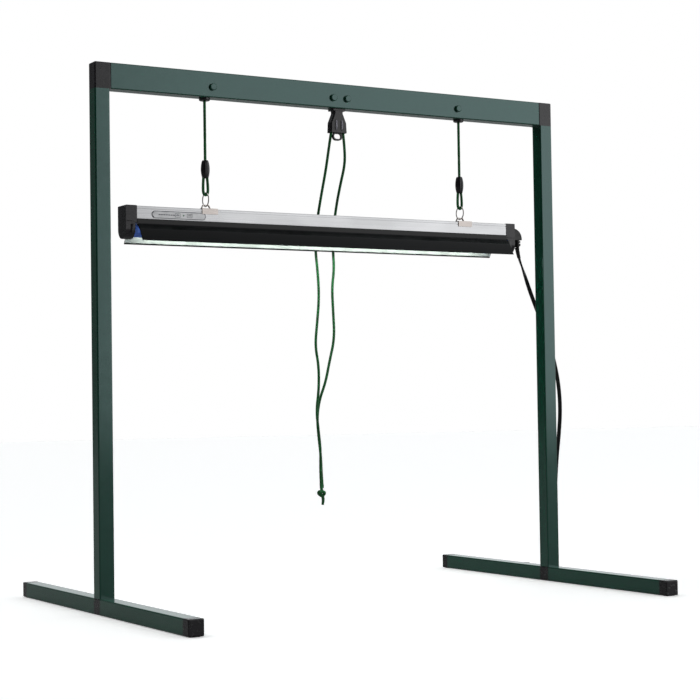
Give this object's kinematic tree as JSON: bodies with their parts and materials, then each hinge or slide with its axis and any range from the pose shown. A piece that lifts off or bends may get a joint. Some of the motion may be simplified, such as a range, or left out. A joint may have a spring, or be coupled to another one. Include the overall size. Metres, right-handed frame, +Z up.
{
  "type": "hanging grow light with stand",
  "caption": "Height-adjustable tube grow light hung on two cords from a free-standing square-tube frame, with a cord lock, reflector and power lead.",
  "frame": {"origin": "floor level under the centre of the stand", "axes": "+X along the crossbar, to the right seen from the front; +Y to the back; +Z up"},
  "size_m": [0.7298, 0.511, 0.663],
  "materials": {
    "green_paint": "deep green powder paint, semi-gloss",
    "black_plastic": "moulded, fine texture",
    "pin_paint": "painted rivet head",
    "pulley_plastic": "natural acetal",
    "zinc": "zinc plated",
    "cord_green": "braided cord",
    "aluminium": "satin anodised",
    "reflector_black": "satin black outside, white inside",
    "nickel": "nickel plated spring steel",
    "label_foil": "grey foil, no text",
    "board": "circuit board",
    "components": "moulded components",
    "lead_black": "satin vinyl",
    "brass": "plain",
    "diffuser": "frosted tube",
    "blue_plastic": "coloured lamp base",
    "white_plastic": "plain",
    "led_board": "white solder mask",
    "led": "phosphor"
  },
  "bodies": {
    "stand": {"crossbar": "green_paint", "upright_left": "green_paint", "elbow_left": "black_plastic", "tee_left": "black_plastic", "foot_tube_left_front": "green_paint", "foot_tube_left_rear": "green_paint", "foot_caps_left": "black_plastic", "bushing_left": "black_plastic", "bar_cord_left": "cord_green", "drop_cord_left": "cord_green", "tail_cord_left": "cord_green", "upright_right": "green_paint", "elbow_right": "black_plastic", "tee_right": "black_plastic", "foot_tube_right_front": "green_paint", "foot_tube_right_rear": "green_paint", "foot_caps_right": "black_plastic", "bushing_right": "black_plastic", "bar_cord_right": "cord_green", "drop_cord_right": "cord_green", "tail_cord_right": "cord_green", "pulley_pins": "pin_paint", "pulley_spacers": "zinc", "lock_body": "black_plastic", "power_cord": "lead_black", "power_cord_hank": "lead_black", "power_cord_end": "lead_black", "cord_tie": "black_plastic", "plug_body": "lead_black", "plug_blades": "brass"},
    "light": {"light_housing": "aluminium", "reflector": "reflector_black", "label_plate": "label_foil", "driver_board": "board", "driver_parts": "components", "inlet_socket": "black_plastic", "power_connector": "lead_black", "bead_left": "black_plastic", "cord_loop_left": "cord_green", "hoop_left": "nickel", "clip_left": "nickel", "end_cap_left": "black_plastic", "bead_right": "black_plastic", "cord_loop_right": "cord_green", "hoop_right": "nickel", "clip_right": "nickel", "end_cap_right": "black_plastic"},
    "lamp": {"lamp_tube": "diffuser", "lamp_bases": "blue_plastic", "lamp_pins": "brass", "lamp_rotors": "white_plastic", "lamp_spine": "aluminium", "led_board": "led_board", "led_chips": "led"},
    "lock_wedge": {"lock_wedge": "black_plastic"},
    "tail_ends": {"tail_knot": "cord_green"},
    "pulley_left_outer": {"pulley_left_outer": "pulley_plastic"},
    "pulley_left_inner": {"pulley_left_inner": "pulley_plastic"},
    "pulley_right_outer": {"pulley_right_outer": "pulley_plastic"},
    "pulley_right_inner": {"pulley_right_inner": "pulley_plastic"}
  },
  "joints": [
    {"name": "light_lift", "type": "slide", "parent": "stand", "child": "light", "axis": [0, 0, 1], "range_m": [-0.22, 0.04], "deforming": ["drop_cord_left", "drop_cord_right", "power_cord"]},
    {"name": "tail_follow", "type": "slide", "parent": "stand", "child": "tail_ends", "axis": [0, 0, 1], "range_m": [-0.04, 0.22], "deforming": ["tail_cord_left", "tail_cord_right"]},
    {"name": "wedge_release", "type": "slide", "parent": "stand", "child": "lock_wedge", "axis": [0, 0, 1], "range_m": [-0.006, 0]},
    {"name": "lamp_turn", "type": "hinge", "parent": "light", "child": "lamp", "pos_m": [0, 0, 0.4617], "axis": [1, 0, 0], "range_deg": [0, 90]},
    {"name": "pulley_left_outer_turn", "type": "hinge", "parent": "stand", "child": "pulley_left_outer", "pos_m": [-0.1833, 0, 0.644], "axis": [0, 1, 0], "continuous": true},
    {"name": "pulley_left_inner_turn", "type": "hinge", "parent": "stand", "child": "pulley_left_inner", "pos_m": [-0.0103, 0, 0.644], "axis": [0, 1, 0], "continuous": true},
    {"name": "pulley_right_outer_turn", "type": "hinge", "parent": "stand", "child": "pulley_right_outer", "pos_m": [0.1833, 0, 0.644], "axis": [0, 1, 0], "continuous": true},
    {"name": "pulley_right_inner_turn", "type": "hinge", "parent": "stand", "child": "pulley_right_inner", "pos_m": [0.0103, 0, 0.644], "axis": [0, 1, 0], "continuous": true}
  ],
  "couplings": [
    {"joint": "tail_follow", "follows": "light_lift", "ratio": -1},
    {"joint": "pulley_left_outer_turn", "follows": "light_lift", "rad_per_m": 142.86},
    {"joint": "pulley_left_inner_turn", "follows": "light_lift", "rad_per_m": 142.86},
    {"joint": "pulley_right_outer_turn", "follows": "light_lift", "rad_per_m": -142.86},
    {"joint": "pulley_right_inner_turn", "follows": "light_lift", "rad_per_m": -142.86}
  ]
}
